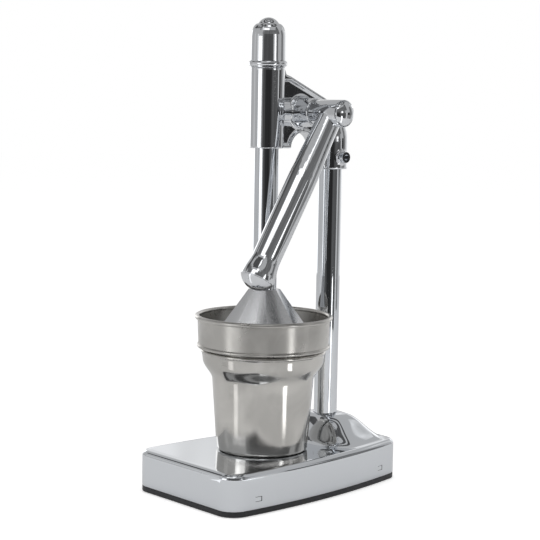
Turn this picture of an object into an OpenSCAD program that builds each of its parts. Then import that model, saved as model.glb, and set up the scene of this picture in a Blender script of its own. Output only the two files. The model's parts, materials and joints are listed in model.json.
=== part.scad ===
// Hand-lever citrus press with a weighted chrome base, one rear column, a die-cast head,
// a fluted press bell, a juice bowl and a stainless cup that catches the juice.
// Millimetres, +Z up, front towards -Y, lever on the +X side.
// The origin is the middle of the base on the ground.

/* [Base] */
// Length of the base from front to rear
base_l = 226; // [216:1:240]
// Greatest width of the base
base_w = 138; // [134:1:160]
// Radius of the bowed long sides
side_r = 700; // [600:10:1200]
// Distance of the widest place in front of the middle
wide_y = 61; // [40:1:70]
// Corner radius in plan
corner_r = 17; // [12:1:20]
// Height of the flat top above the ground
base_h = 38; // [36:0.5:46]
// Radius of the top edge
edge_r = 5; // [3:0.5:7]
// Sheet thickness of the shell
shell_t = 1.5; // [1:0.1:2]
// Height of the swelling round the column
mound_h = 24; // [16:1:30]
// Reach of the swelling to the sides and the rear
mound_r = 58; // [46:1:64]
// Height of the black band under the shell
band_h = 4.7; // [4:0.1:7]
// Thickness of the tray's floor
tray_t = 2.5; // [2:0.1:3.5]
// How far the rubber feet stand below the band
foot_proud = 0.8; // [0.5:0.1:2]
// Radius of a rubber foot
foot_r = 9; // [6:0.5:12]
// Thickness of the ballast plate
ballast_t = 12; // [9:0.5:16]

/* [Column and rod] */
// Diameter of the column
column_d = 22; // [20:0.5:23]
// Diameter of the plunger rod
rod_d = 22; // [20:0.5:22.5]
// Distance between the rod's axis and the column's axis
spacing = 80; // [78:0.5:86]
// Distance of the rod's axis in front of the base's middle
rod_front = 19; // [15:0.5:24]
// Diameter of the threaded spigot under the column
spigot_d = 12; // [10:0.5:14]

/* [Cup] */
// Height of the cup
cup_h = 93.5; // [85:0.5:100]
// Radius at the cup's foot
cup_foot_r = 41.8; // [38:0.2:42.4]
// Radius of the tapered body under the shoulder
cup_body_r = 46.3; // [44:0.1:48]
// Radius of the upper band at the rim
cup_band_r = 56.2; // [54:0.1:57]
// Height of the upper band
cup_band_h = 15; // [12:0.5:20]
// Wall of the cup
cup_t = 1; // [0.8:0.1:1.5]

/* [Bowl] */
// Outer radius of the bowl's wall at the rim
bowl_r = 60.4; // [59:0.2:62]
// Height of the bowl's wall above the cup
bowl_h = 29.9; // [25:0.5:36]
// Depth of the bowl's step inside the cup
bowl_drop = 6; // [4:0.5:7]
// Wall of the bowl
bowl_t = 1.2; // [1:0.1:1.6]
// Radius of the drain spout
spout_r = 10; // [8:0.5:14]
// Radius of the reamer's foot
reamer_r = 29; // [24:0.5:30]
// Height of the reamer
reamer_h = 31; // [26:0.5:32]

/* [Press bell] */
// Radius of the bell's rim
bell_r = 48.6; // [46:0.1:49]
// Height of the bell
bell_h = 50.8; // [47:0.1:56]
// Number of flutes
flutes = 8; // [6:1:10]
// Lean of the flutes from the vertical
flute_lean = 32.3; // [32:0.1:33]
// How far the middle of a flute lies inside the rim
flute_in = 5.4; // [4.8:0.1:5.8]
// Radius of a flute's hollow
flute_hollow = 110; // [100:5:120]
// Thinnest wall of the bell
bell_t = 3.4; // [2.5:0.1:4]
// Gap between the bell's rim and the strainer at the lowest position
press_gap = 6.2; // [6:0.1:9]

/* [Head] */
// Height of the lever shaft above the ground
shaft_z = 345; // [340:1:370]
// Distance of the lever shaft behind the rod's axis
shaft_back = 36.3; // [35.5:0.1:38]
// Radius of the guide barrel
guide_r = 15.4; // [15:0.1:17]
// Thickness of the web
web_t = 12.4; // [12:0.1:15]
// Depth of the recessed side panels
panel_d = 1.2; // [0.5:0.1:1.4]
// Radius of the arch under the shaft
arch_r = 14.6; // [12:0.1:15]
// Radius of the collar round the column
collar_r = 15.6; // [15:0.1:18]
// Length of the shaft boss from the web's middle
boss_l = 27; // [24:0.5:32]
// Height of the cap above the guide
cap_h = 38.5; // [36:0.5:42]
// Radius of the cap's bead
bead_r = 17.4; // [16.8:0.1:18.5]

/* [Lever] */
// Diameter of the lever shaft
shaft_d = 12; // [10:0.5:12.5]
// Length of the crank between its centres
crank_l = 39; // [38:0.2:39.6]
// Radius of the crank's rounded end
knuckle_r = 5.5; // [4.5:0.1:6]
// Thickness of the crank
crank_t = 5; // [4:0.1:5.4]
// Angle of the crank below level at the lowest position
crank_rest = 34; // [30:1:35]
// Radius of the lever's hub
hub_r = 12.1; // [11.5:0.1:13]
// Length of the lever's hub
hub_l = 36.2; // [34:0.2:42]
// Distance of the arm's axis from the hub's inner face
arm_x = 18.7; // [16:0.1:20]
// Radius of the arm at the hub
arm_r = 11.1; // [10:0.1:11.9]
// Radius of the arm at its neck
neck_r = 12.7; // [12:0.1:13.4]
// Radius of the knob
knob_r = 15.1; // [14.6:0.1:17]
// Length from the shaft's axis to the knob's rim
arm_l = 168; // [150:1:175]
// Angle of the arm from the vertical at the lowest position
arm_angle = 31; // [28:1:36]

/* [Fits] */
// Radial running clearance of shafts and rods
run_fit = 0.05; // [0.02:0.01:0.08]
// Radial clearance of fixed fits
seat_fit = 0.03; // [0.02:0.01:0.06]
// Gap between faces that only rest on each other
rest_gap = 0.3; // [0.25:0.05:0.4]

/* [Hidden] */
$fn = 96;
eps = 0.01;

// Places in plan and levels
rod_r = rod_d / 2;
column_r = column_d / 2;
rod_y = -rod_front;
col_y = rod_y + spacing;
shaft_y = rod_y + shaft_back;
half_l = base_l / 2;
band_z = foot_proud + band_h;
floor_z = foot_proud + tray_t;
ballast_z = floor_z + ballast_t;
boss_z = base_h + mound_h - shell_t - 9;
screw_in = 2 * foot_r;
screw_deep = ballast_t / 2;
nut_h = 0.7 * spigot_d;
nut_z = floor_z + 0.7;
washer_t = 1.5;
cup_z = base_h + rest_gap;
cup_top = cup_z + cup_h;
bowl_z = cup_top + rest_gap;
bowl_top = bowl_z + bowl_h;
ledge_z = bowl_z - bowl_drop;
strainer_t = 1.2;
strainer_z = ledge_z + bowl_t;
reamer_z = strainer_z + strainer_t;
bell_z = reamer_z + press_gap;
bell_top = bell_z + bell_h;
cup_bead = 1.6;

// Plan of the base: a long arc on each side between two corner arcs
side_x = base_w / 2 - side_r;
front_c = [side_x + sqrt(pow(side_r - corner_r, 2) - pow(wide_y - half_l + corner_r, 2)),
    corner_r - half_l];
rear_c = [side_x + sqrt(pow(side_r - corner_r, 2) - pow(wide_y + half_l - corner_r, 2)),
    half_l - corner_r];
front_a = atan2(front_c.y + wide_y, front_c.x - side_x);
rear_a = atan2(rear_c.y + wide_y, rear_c.x - side_x);

// Polar point, and the right half of the plan moved inwards by e
function polar(c, r, a) = [c.x + r * cos(a), c.y + r * sin(a)];
function half_plan(e) = concat(
    [for (i = [0:2]) [front_c.x * i / 3, e - half_l]],
    [for (i = [0:7]) polar(front_c, corner_r - e, -90 + (90 + front_a) * i / 7)],
    [for (i = [1:9]) polar([side_x, -wide_y], side_r - e, front_a + (rear_a - front_a) * i / 10)],
    [for (i = [0:7]) polar(rear_c, corner_r - e, rear_a + (90 - rear_a) * i / 7)],
    [for (i = [2:-1:1]) [rear_c.x * i / 3, half_l - e]]);
function plan(e) = let (h = half_plan(e)) concat(h, [[0, half_l - e]],
    [for (i = [len(h) - 1:-1:1]) [-h[i].x, h[i].y]]);
function side_at(y) = side_x + sqrt(side_r * side_r - pow(y + wide_y, 2));

// Height of the swelling at distance d from the column, on a ray that ends at reach
seat_r = cup_foot_r + 3.2;
function rise(d, reach) = mound_h * (1 + cos(180 * min(1, max(0,
    (d - column_r + 1) / (reach - column_r + 1))))) / 2;
// One ring of the shell's top: u runs from the edge (0) to the column's hole (1)
shell_hole = (column_r + rest_gap) / cos(180 / len(plan(0)));
function top_ring(u, dz) = [for (p = plan(edge_r)) let (
    v = [p.x, p.y - col_y], full = norm(v), ahead = max(0, -v.y / full),
    reach = min(full, mound_r - (mound_r - (spacing - seat_r - 1)) * ahead * ahead),
    d = shell_hole + (full - shell_hole) * pow(1 - u, 1.5))
    [v.x / full * d, col_y + v.y / full * d, base_h + rise(d, reach) - dz]];
function edge_ring(a, t) = [for (p = plan(t + (edge_r - t) * (1 - cos(a))))
    [p.x, p.y, base_h - edge_r + (edge_r - t) * sin(a)]];
function wall_ring(e, z) = [for (p = plan(e)) [p.x, p.y, z]];
outer_steps = 16;
inner_steps = 8;
shell_rings = concat(
    [wall_ring(0, band_z)],
    [for (a = [0:18:90]) edge_ring(a, 0)],
    [for (j = [1:outer_steps]) top_ring(j / outer_steps, 0)],
    [for (j = [inner_steps:-1:1]) top_ring(j / inner_steps, shell_t)],
    [for (a = [90:-30:0]) edge_ring(a, shell_t)],
    [wall_ring(shell_t, band_z)]);

// Head: levels of the guide barrel and the collar
guide_z = shaft_z - 32.2;
guide_top = shaft_z + 40;
collar_z = shaft_z - 52.3;
collar_h = 25;
collar_dome = 27;
socket_top = collar_z + 39.5;
panel_x = web_t / 2 - panel_d;
bush_r = shaft_d / 2 + 2;
guide_bush_r = rod_r + 2;
guide_bush_h = 7.6;
cap_spigot_h = 6;
cap_top = guide_top + cap_h;
slot_w = crank_t + 0.8;
hub_x = boss_l + rest_gap;
hub_end = hub_x + hub_l;

// Crank: direction for an angle above level, in the plane of Y and Z
function crank_dir(a) = [-cos(a), sin(a)];
function crank_under(a) = [-sin(a), -cos(a)];
lever_range = 77;
crank_lift = lever_range - crank_rest;
pin_z = shaft_z - crank_l * sin(crank_rest);
lift = crank_l * (sin(crank_rest) + sin(crank_lift));
notch_h = 2 * knuckle_r + 2.6;
notch_y = [shaft_back - crank_l - knuckle_r - 0.6, shaft_back - crank_l * cos(crank_lift)];
neck_w = knuckle_r - 2.6;
rod_top = cap_top - 15.9 - lift;

// Bell: radius at the middle of a flute, and of the hollow inside
rim_h = 3;
ridge_turn = 8;
bell_hub_h = 11.2;
function flute_at(z) = bell_r - flute_in - (z - bell_z - rim_h) * tan(flute_lean);
function bell_in(z) = flute_at(z) - bell_t / cos(flute_lean);

// Turns a solid made along +Z so that it lies along +X, or puts a plane outline across X
module along_x() rotate([90, 0, 90]) children();
module ring(r1, r2, h) difference() {
    cylinder(r = r1, h = h);
    translate([0, 0, -eps]) cylinder(r = r2, h = h + 2 * eps);
}
module slab(e, z0, z1) translate([0, 0, z0]) linear_extrude(z1 - z0) polygon(plan(e));

// Places of the four feet, and of the four tray screws inside them
module at_corners(inset) for (s = [-1, 1]) {
    translate([s * (front_c.x - inset), front_c.y + inset, 0]) children();
    translate([s * (rear_c.x - inset), rear_c.y - inset, 0]) children();
}
// Places of the four snap windows in the long sides
window = [7, 4];
window_z = band_z + 9;
module at_windows() for (m = [0, 1], y = [-half_l * 0.73, half_l * 0.72]) mirror([m, 0, 0])
    translate([side_at(y), y, 0]) rotate([0, 0, asin((y + wide_y) / side_r)]) children();

module base_shell() color("gainsboro") difference() {
    polyhedron(
        points = [for (r = shell_rings) each r],
        faces = let (n = len(plan(0)), m = len(shell_rings)) [
            for (k = [0:m - 1], i = [0:n - 1]) let (
                a = k * n + i, b = k * n + (i + 1) % n,
                c = ((k + 1) % m) * n + (i + 1) % n, d = ((k + 1) % m) * n + i)
                each [[a, d, c], [a, c, b]]],
        convexity = 6);
    at_windows() translate([0, 0, window_z]) cube([4 * shell_t + 2, window.x, window.y], center = true);
}

module base_tray() color("dimgray") {
    difference() {
        union() {
            slab(0.2, foot_proud, floor_z);
            difference() {
                slab(0.2, foot_proud, band_z);
                slab(shell_t + 2.5, floor_z - eps, band_z + 1);
            }
            difference() {
                slab(shell_t + 0.3, band_z - eps, band_z + 4);
                slab(shell_t + 2.5, band_z - 1, band_z + 5);
            }
        }
        at_corners(0) translate([0, 0, -1]) cylinder(r = foot_r + 0.2, h = 1 + foot_proud + tray_t / 2);
        at_corners(screw_in) translate([0, 0, -1]) cylinder(r = 2.2, h = 9);
        at_corners(screw_in) translate([0, 0, -1]) cylinder(r = 4.2, h = 1 + foot_proud + tray_t / 2);
    }
    // Snap tongues: each stands behind the wall, with its nose in the window
    at_windows() {
        translate([-shell_t - 1.6, 0, (floor_z + window_z + 3) / 2])
            cube([2, window.x + 1, window_z + 3 - floor_z + eps], center = true);
        translate([-shell_t - 0.1, 0, window_z])
            cube([2.4, window.x - 0.8, window.y - 0.8], center = true);
    }
}

module rubber_feet() color("darkslategray")
    at_corners(0) cylinder(r = foot_r, h = foot_proud + tray_t / 2);

module ballast_plate() color("darkgray") difference() {
    union() {
        slab(9, floor_z, ballast_z);
        translate([0, col_y, floor_z]) cylinder(r = column_r + 7, h = boss_z - floor_z);
    }
    translate([0, col_y, 0]) cylinder(r = spigot_d / 2 + 0.3, h = boss_z + 1);
    translate([0, col_y, 0]) cylinder(r = spigot_d + 2, h = nut_z + nut_h + washer_t);
    at_corners(screw_in) cylinder(r = 2 + seat_fit, h = floor_z + screw_deep + 2);
}

module tray_screws() color("silver") at_corners(screw_in) {
    translate([0, 0, foot_proud + 0.1]) cylinder(r = 3.8, h = tray_t / 2 - 0.1);
    translate([0, 0, foot_proud + 0.1]) cylinder(r = 2, h = tray_t + screw_deep);
}

module column() color("gainsboro") translate([0, col_y, 0]) {
    translate([0, 0, boss_z]) cylinder(r = column_r, h = socket_top - boss_z - 0.2);
    translate([0, 0, floor_z + 0.5]) cylinder(r = spigot_d / 2, h = boss_z - floor_z);
}

module column_washer() color("silver") translate([0, col_y, nut_z + nut_h])
    ring(spigot_d, spigot_d / 2 + 0.2, washer_t);

module column_nut() color("silver") translate([0, col_y, nut_z]) difference() {
    cylinder(r = spigot_d * 0.9, h = nut_h, $fn = 6);
    translate([0, 0, -1]) cylinder(r = spigot_d / 2 + seat_fit, h = nut_h + 2);
}

// Side view of the web, measured from the shaft: sloped top, flat front foot, rear leg
guide_y = -shaft_back;
collar_y = spacing - shaft_back;
arch_c = [3, -33];
web_top = [[guide_y + guide_r + 1, 38], [guide_y + guide_r + 2.1, 34], [guide_y + guide_r + 7.5, 32.4],
    [collar_y - 10, 11.5], [collar_y - 1, 7]];
web_rear = [for (a = [70:-20:10]) [collar_y + (collar_r - 0.4) * cos(a), -27 + 33 * sin(a)]];
web_foot = [[collar_y, -46], [collar_y - collar_r, -47], [arch_c.x + arch_r + 3, arch_c.y - 4],
    [arch_c.x + arch_r, arch_c.y], [guide_y, -32.2], [guide_y, 38]];
panel = [[guide_y + 0.65 * guide_r, 28.5], [guide_y + 1.43 * guide_r, 28.9],
    [collar_y - 0.686 * collar_r, 8],
    [collar_y - 8, -2], [collar_y - 8, -43], [arch_c.x + arch_r + 5, arch_c.y - 2],
    [arch_c.x + arch_r + 3.2, arch_c.y + 4], [guide_y + 0.65 * guide_r, -29.4]];
module across_x(t) translate([-t / 2, shaft_y, shaft_z]) rotate([90, 0, 90])
    linear_extrude(t) children();

module head_casting() color("silver") difference() {
    union() {
        translate([0, rod_y, guide_z]) cylinder(r = guide_r, h = guide_top - guide_z);
        difference() {
            across_x(web_t) polygon(concat(web_top, web_rear, web_foot));
            for (s = [-1, 1]) translate([s * (panel_x + 2), 0, 0]) across_x(4) difference() {
                polygon(panel);
                translate(arch_c) circle(r = arch_r + 2.8);
            }
        }
        // Ridge over the crank's pocket, from the barrel to the boss
        translate([0, rod_y + 5, shaft_z]) rotate([-90, 0, 0])
            cylinder(r = web_t / 2 + 3.2, h = shaft_back - 5);
        // Shaft boss with its root bead, and the short boss on the far side
        translate([0, shaft_y, shaft_z]) rotate([0, 90, 0]) {
            cylinder(r = hub_r + 2.5, h = 8);
            translate([0, 0, 8 - eps]) cylinder(r1 = hub_r + 1.6, r2 = hub_r + 0.6, h = boss_l - 8 + eps);
        }
        translate([-12, shaft_y, shaft_z]) rotate([0, 90, 0]) cylinder(r = hub_r + 1, h = 12);
        // Collar with a domed top, and the pad of the lock screw
        translate([0, col_y, collar_z]) rotate_extrude() polygon(concat([[0, 0], [collar_r, 0]],
            [for (a = [0:10:90]) [collar_r * cos(a), collar_h + collar_dome * sin(a)]]));
        translate([0, col_y, collar_z + 11.2]) rotate([0, 90, 0]) cylinder(r = 6.4, h = collar_r + 0.8);
    }
    // Arch under the shaft
    translate([-20, shaft_y + arch_c.x, shaft_z + arch_c.y]) rotate([0, 90, 0])
        cylinder(r = arch_r, h = 40);
    translate([-20, shaft_y + arch_c.x - arch_r, shaft_z + arch_c.y - 6])
        cube([40, 2 * arch_r, 6.8]);
    // Bore of the rod, with its bush seat below and its cap seat above
    translate([0, rod_y, guide_z - 1]) cylinder(r = rod_r + run_fit, h = guide_top - guide_z + 2);
    translate([0, rod_y, guide_z - 1]) cylinder(r = guide_bush_r + seat_fit, h = guide_bush_h + 1);
    translate([0, rod_y, guide_top - cap_spigot_h - 0.3])
        cylinder(r = rod_r + 2.3 + seat_fit, h = cap_spigot_h + 2);
    // Socket of the column and the hole of its lock screw
    translate([0, col_y, collar_z - 1]) cylinder(r = column_r + seat_fit, h = socket_top - collar_z + 1);
    translate([0, col_y, collar_z + 11.2]) rotate([0, 90, 0])
        cylinder(r = 3 + seat_fit, h = collar_r + 5);
    // Seats of the shaft bushes
    translate([-14, shaft_y, shaft_z]) rotate([0, 90, 0])
        cylinder(r = bush_r + seat_fit, h = boss_l + 16);
    // Pocket in which the crank swings
    across_x(slot_w) polygon([
        crank_under(-crank_rest) * 8,
        crank_under(-crank_rest) * 8 + crank_dir(-crank_rest) * shaft_back / cos(crank_rest),
        -crank_under(crank_lift) * 8 + crank_dir(crank_lift) * shaft_back / cos(crank_lift),
        -crank_under(crank_lift) * 8]);
    translate([-slot_w / 2, shaft_y, shaft_z]) rotate([0, 90, 0]) cylinder(r = 10.6, h = slot_w);
}

module lock_screw() color("silver") translate([collar_r + 0.8, col_y, collar_z + 11.2])
    rotate([0, 90, 0]) difference() {
        union() {
            cylinder(r = 5, h = 4.6);
            translate([0, 0, column_r + 0.05 - collar_r - 0.8])
                cylinder(r = 3, h = collar_r + 0.8 - column_r);
        }
        translate([0, 0, 2]) cylinder(r = 2.9, h = 4, $fn = 6);
    }

module guide_bush() color("goldenrod") translate([0, rod_y, guide_z])
    ring(guide_bush_r, rod_r + run_fit, guide_bush_h);

// Cap over the rod's upper travel: bead, tapered barrel and rounded shoulder
module guide_cap() color("gainsboro") translate([0, rod_y, guide_top]) difference() {
    union() {
        translate([0, 0, -cap_spigot_h]) cylinder(r = rod_r + 2.3, h = cap_spigot_h + 3);
        rotate_extrude() {
            polygon(concat([[0, 0], [guide_r + 0.3, 0]],
                [for (a = [0:9:90]) [guide_r - 6.2 + 6.2 * cos(a), cap_h - 11.5 + 11.5 * sin(a)]],
                [[0, cap_h]]));
            hull_free_bead();
        }
    }
    translate([0, 0, -cap_spigot_h - 1]) cylinder(r = rod_r + 1, h = cap_h - 14.1 + cap_spigot_h + 1);
    translate([0, 0, cap_h - 8]) cylinder(r = 3 + seat_fit, h = 10);
}
module hull_free_bead() {
    translate([0, 0.4]) square([bead_r - 1, 5.4]);
    translate([bead_r - 2.7, 3.1]) circle(r = 2.7, $fn = 48);
}

module cap_button() color("gainsboro") translate([0, rod_y, cap_top]) {
    rotate_extrude() intersection() {
        translate([0, 5.4 - 10.4]) circle(r = 10.4);
        square([9.1, 8]);
    }
    translate([0, 0, -7]) cylinder(r = 3, h = 8);
}

module shaft_bushes() color("goldenrod") {
    translate([slot_w / 2 + 0.4, shaft_y, shaft_z]) rotate([0, 90, 0])
        ring(bush_r, shaft_d / 2 + run_fit, boss_l - slot_w / 2 - 0.4);
    translate([-12, shaft_y, shaft_z]) rotate([0, 90, 0])
        ring(bush_r, shaft_d / 2 + run_fit, 12 - slot_w / 2 - 0.4);
}

module retaining_ring() color("dimgray") translate([-13.3, shaft_y, shaft_z]) rotate([0, 90, 0])
    ring(shaft_d / 2 + 3, shaft_d / 2 - 0.5 + seat_fit, 1);

module lever_shaft() color("silver") translate([-14.8, shaft_y, shaft_z]) rotate([0, 90, 0])
    difference() {
        cylinder(r = shaft_d / 2, h = 14.8 + hub_end - 6);
        translate([0, 0, 1.4]) ring(shaft_d, shaft_d / 2 - 0.5, 1.2);
        translate([-10, 0, 14.8]) rotate([0, 90, 0]) cylinder(r = 1.25 + seat_fit, h = 20);
    }

module crank() color("darkgray") difference() {
    translate([-crank_t / 2, shaft_y, shaft_z]) rotate([crank_rest, 0, 0]) {
        rotate([0, 90, 0]) cylinder(r = 9.5, h = crank_t);
        translate([0, -crank_l, 0]) rotate([0, 90, 0]) cylinder(r = knuckle_r, h = crank_t);
        rotate([90, 0, 90]) linear_extrude(crank_t)
            polygon([[0, -8], [0, 8], [4.5 - crank_l, neck_w], [-crank_l, neck_w],
                [-crank_l, -neck_w], [4.5 - crank_l, -neck_w]]);
    }
    translate([-crank_t, shaft_y, shaft_z]) rotate([0, 90, 0])
        cylinder(r = shaft_d / 2 + seat_fit, h = 2 * crank_t);
    translate([0, shaft_y, shaft_z - 10]) cylinder(r = 1.25 + seat_fit, h = 20);
}

module crank_pin() color("silver") translate([0, shaft_y, shaft_z - 9])
    cylinder(r = 1.25, h = 18);

// Hub: a barrel along the shaft, bored from the inside, with a hole for the arm's spigot
module lever_hub() color("gainsboro") difference() {
    translate([hub_x, shaft_y, shaft_z]) rotate([0, 90, 0]) cylinder(r = hub_r, h = hub_l);
    translate([hub_x - 1, shaft_y, shaft_z]) rotate([0, 90, 0])
        cylinder(r = shaft_d / 2 + seat_fit, h = hub_l - 5 + 0.3);
    translate([hub_end - 4, shaft_y, shaft_z]) rotate([0, 90, 0])
        cylinder(r = hub_r - 3 + seat_fit, h = 5);
    along_arm() translate([0, 0, shaft_d / 2 - 1]) cylinder(r = 5 + seat_fit, h = hub_r);
    at_set_screw() cylinder(r = 2.5 + seat_fit, h = hub_r + 1);
}

module hub_end_cap() color("gainsboro") translate([hub_end, shaft_y, shaft_z]) rotate([0, 90, 0]) {
    translate([0, 0, -3.8]) cylinder(r = hub_r - 3, h = 3.8 + eps);
    rotate_extrude() intersection() {
        translate([0, 3 - 26]) circle(r = 26);
        square([hub_r - 0.2, 8]);
    }
}

// Frame of the arm: +Z runs from the shaft's axis towards the knob
module along_arm() translate([hub_x + arm_x, shaft_y, shaft_z]) rotate([180 - arm_angle, 0, 0])
    children();
module at_set_screw() translate([hub_x + arm_x + 6, shaft_y, shaft_z])
    rotate([-90 - arm_angle, 0, 0]) children();

module lever_arm() color("gainsboro") difference() {
    along_arm() {
        rotate_extrude() polygon(concat([[0, 2], [arm_r, 2]],
            [for (t = [0:0.125:1]) [arm_r + (neck_r + 0.2 - arm_r) * t * t * (3 - 2 * t), 10 + 60 * t]],
            [[neck_r, arm_l - 21]],
            [for (t = [0.1:0.1:1]) [neck_r + (knob_r - neck_r) * t * t * (3 - 2 * t), arm_l - 21 + 18 * t]],
            [[knob_r, arm_l - 0.8], [knob_r - 0.8, arm_l], [0, arm_l]]));
    }
    difference() {
        translate([hub_x - 3, shaft_y, shaft_z]) rotate([0, 90, 0])
            cylinder(r = hub_r + seat_fit, h = hub_l + 6);
        along_arm() translate([0, 0, shaft_d / 2 + 0.5]) cylinder(r = 5, h = hub_r + 2);
    }
    along_arm() cylinder(r = 20, h = shaft_d / 2 + 0.5);
    along_arm() translate([0, 0, arm_l - 5]) cylinder(r = 6 + seat_fit, h = 10);
}

// The knob's end is part of a ball
knob_dome = 8.5;
dome_r = (pow(knob_r - 0.4, 2) + knob_dome * knob_dome) / (2 * knob_dome);
module knob_cap() color("gainsboro") along_arm() translate([0, 0, arm_l]) {
    translate([0, 0, -4.6]) cylinder(r = 6, h = 4.6 + eps);
    rotate_extrude() intersection() {
        translate([0, knob_dome - dome_r]) circle(r = dome_r);
        square([knob_r - 0.4, 12]);
    }
}

module lever_set_screw() color("dimgray") at_set_screw() difference() {
    translate([0, 0, shaft_d / 2 + 0.02]) cylinder(r = 2.5, h = hub_r - shaft_d / 2 - 0.4);
    translate([0, 0, hub_r - 2.6]) cylinder(r = 1.4, h = 4, $fn = 6);
}

// Rod with the crank's notch at the rear and a spigot for the bell below
module plunger_rod() color("gainsboro") translate([0, rod_y, 0]) difference() {
    union() {
        translate([0, 0, bell_top]) cylinder(r = rod_r, h = rod_top - 1 - bell_top);
        translate([0, 0, rod_top - 1 - eps]) cylinder(r1 = rod_r, r2 = rod_r - 1, h = 1 + eps);
        translate([0, 0, bell_top - bell_hub_h]) cylinder(r = 5.5, h = bell_hub_h + 1);
    }
    // Notch with a flared mouth for the crank's sloping arm
    translate([-slot_w / 2, 0, pin_z]) rotate([90, 0, 90]) linear_extrude(slot_w)
        polygon([[notch_y[0], -notch_h / 2], [notch_y[1], -notch_h / 2],
            [notch_y[1] + 5, -notch_h / 2 - 5], [notch_y[1] + 5, notch_h / 2 + 5],
            [notch_y[1], notch_h / 2], [notch_y[0], notch_h / 2]]);
    translate([0, 0, bell_top - bell_hub_h - 1]) cylinder(r = 3 + seat_fit, h = 17);
}

// Bell: a turned body with a domed top, cut by leaning cylinders that leave sharp ridges
dome = [[bell_r - 28, bell_top - 6.5], [bell_r - 32.2, bell_top - 0.3], [bell_r - 35.6, bell_top]];
module press_bell() color("lightgray") translate([0, rod_y, 0]) difference() {
    union() {
        difference() {
            rotate_extrude() polygon(concat([[0, bell_z + 1], [bell_r, bell_z + 1],
                [bell_r, bell_z + rim_h]], [for (t = [0:0.2:1])
                dome[0] * (1 - t) * (1 - t) + dome[1] * 2 * t * (1 - t) + dome[2] * t * t],
                [[0, bell_top]]));
            for (i = [0:flutes - 1]) rotate([0, 0, ridge_turn + 180 / flutes * (2 * i + 1)])
                translate([bell_r - flute_in, 0, bell_z + rim_h]) rotate([0, -flute_lean, 0])
                    translate([flute_hollow, 0, -30])
                        cylinder(r = flute_hollow, h = 30 + bell_h / cos(flute_lean), $fn = 240);
        }
        translate([0, 0, bell_z]) cylinder(r = bell_r, h = rim_h);
    }
    rotate_extrude() polygon([[0, bell_z - 1], [bell_in(bell_z - 1), bell_z - 1],
        [bell_in(bell_top - bell_hub_h - 3), bell_top - bell_hub_h - 3],
        [bell_in(bell_top - bell_hub_h) - 3, bell_top - bell_hub_h],
        [0, bell_top - bell_hub_h]]);
    translate([0, 0, bell_top - bell_hub_h - 1]) cylinder(r = 5.5 + seat_fit, h = bell_hub_h + 2);
}

module bell_washer() color("silver") translate([0, rod_y, bell_top - bell_hub_h - 1])
    ring(9, 3.2, 1);

module bell_screw() color("silver") translate([0, rod_y, bell_top - bell_hub_h - 1]) difference() {
    union() {
        translate([0, 0, -4]) cylinder(r = 5, h = 4);
        cylinder(r = 3, h = 15);
    }
    translate([0, 0, -5]) cylinder(r = 2.9, h = 3.4, $fn = 6);
}

// Bowl: rolled rim, straight wall, step that sits on the cup, funnel and spout
step_r = cup_band_r - 0.6 - cup_bead - 0.5;
module juice_bowl() color("lightgray") translate([0, rod_y, 0]) {
    rotate_extrude() {
        difference() {
            polygon([[spout_r + bowl_t, ledge_z - 12], [spout_r + bowl_t, ledge_z - 8],
                [step_r - 2, ledge_z], [step_r, ledge_z], [step_r, bowl_z], [bowl_r - 1.2, bowl_z],
                [bowl_r, bowl_top - 2], [spout_r, bowl_top - 2], [spout_r, ledge_z - 12]]);
            polygon([[0, ledge_z - 13], [spout_r, ledge_z - 13], [spout_r, ledge_z - 8 + bowl_t],
                [step_r - 4, ledge_z + bowl_t], [step_r - bowl_t, ledge_z + bowl_t],
                [step_r - bowl_t, bowl_z + bowl_t], [bowl_r - 1.2 - bowl_t, bowl_z + bowl_t],
                [bowl_r - bowl_t, bowl_top - 1], [0, bowl_top - 1]]);
        }
        translate([bowl_r + 0.3, bowl_top - 2.1]) circle(r = 2.1, $fn = 48);
        translate([bowl_r - 1.3, bowl_z + 1.6]) circle(r = 1.6, $fn = 48);
    }
}

// Strainer: a loose disc on the bowl's ledge, drilled in three rings
module strainer_plate() color("lightgray") translate([0, rod_y, strainer_z]) difference() {
    cylinder(r = step_r - bowl_t - 0.4, h = strainer_t);
    for (k = [0:2], i = [0:15]) rotate([0, 0, (i + k / 2) * 22.5])
        translate([reamer_r + 4.5 + 5.6 * k, 0, -1]) cylinder(r = 1.7, h = 4, $fn = 24);
}

// Reamer: a domed cone with standing ribs, height as a share h of its own
function ream(h) = reamer_r * sqrt(1 - h * h) * (0.74 - 0.1 * h);
module reamer() color("lightgray") translate([0, rod_y, reamer_z]) {
    rotate_extrude() polygon(concat([[0, 0]], [for (i = [0:12]) let (h = sin(i * 7.5))
        [ream(h), reamer_h * 0.97 * h]]));
    for (i = [0:7]) rotate([0, 0, i * 45]) rotate([90, 0, 0]) translate([0, 0, -1.2])
        linear_extrude(2.4) polygon(concat([[0, 0], [reamer_r, 0]],
            [for (h = [0.2:0.2:0.8]) [ream(h) + 4.5 * (1 - h), reamer_h * h]], [[0, reamer_h]]));
}

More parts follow.
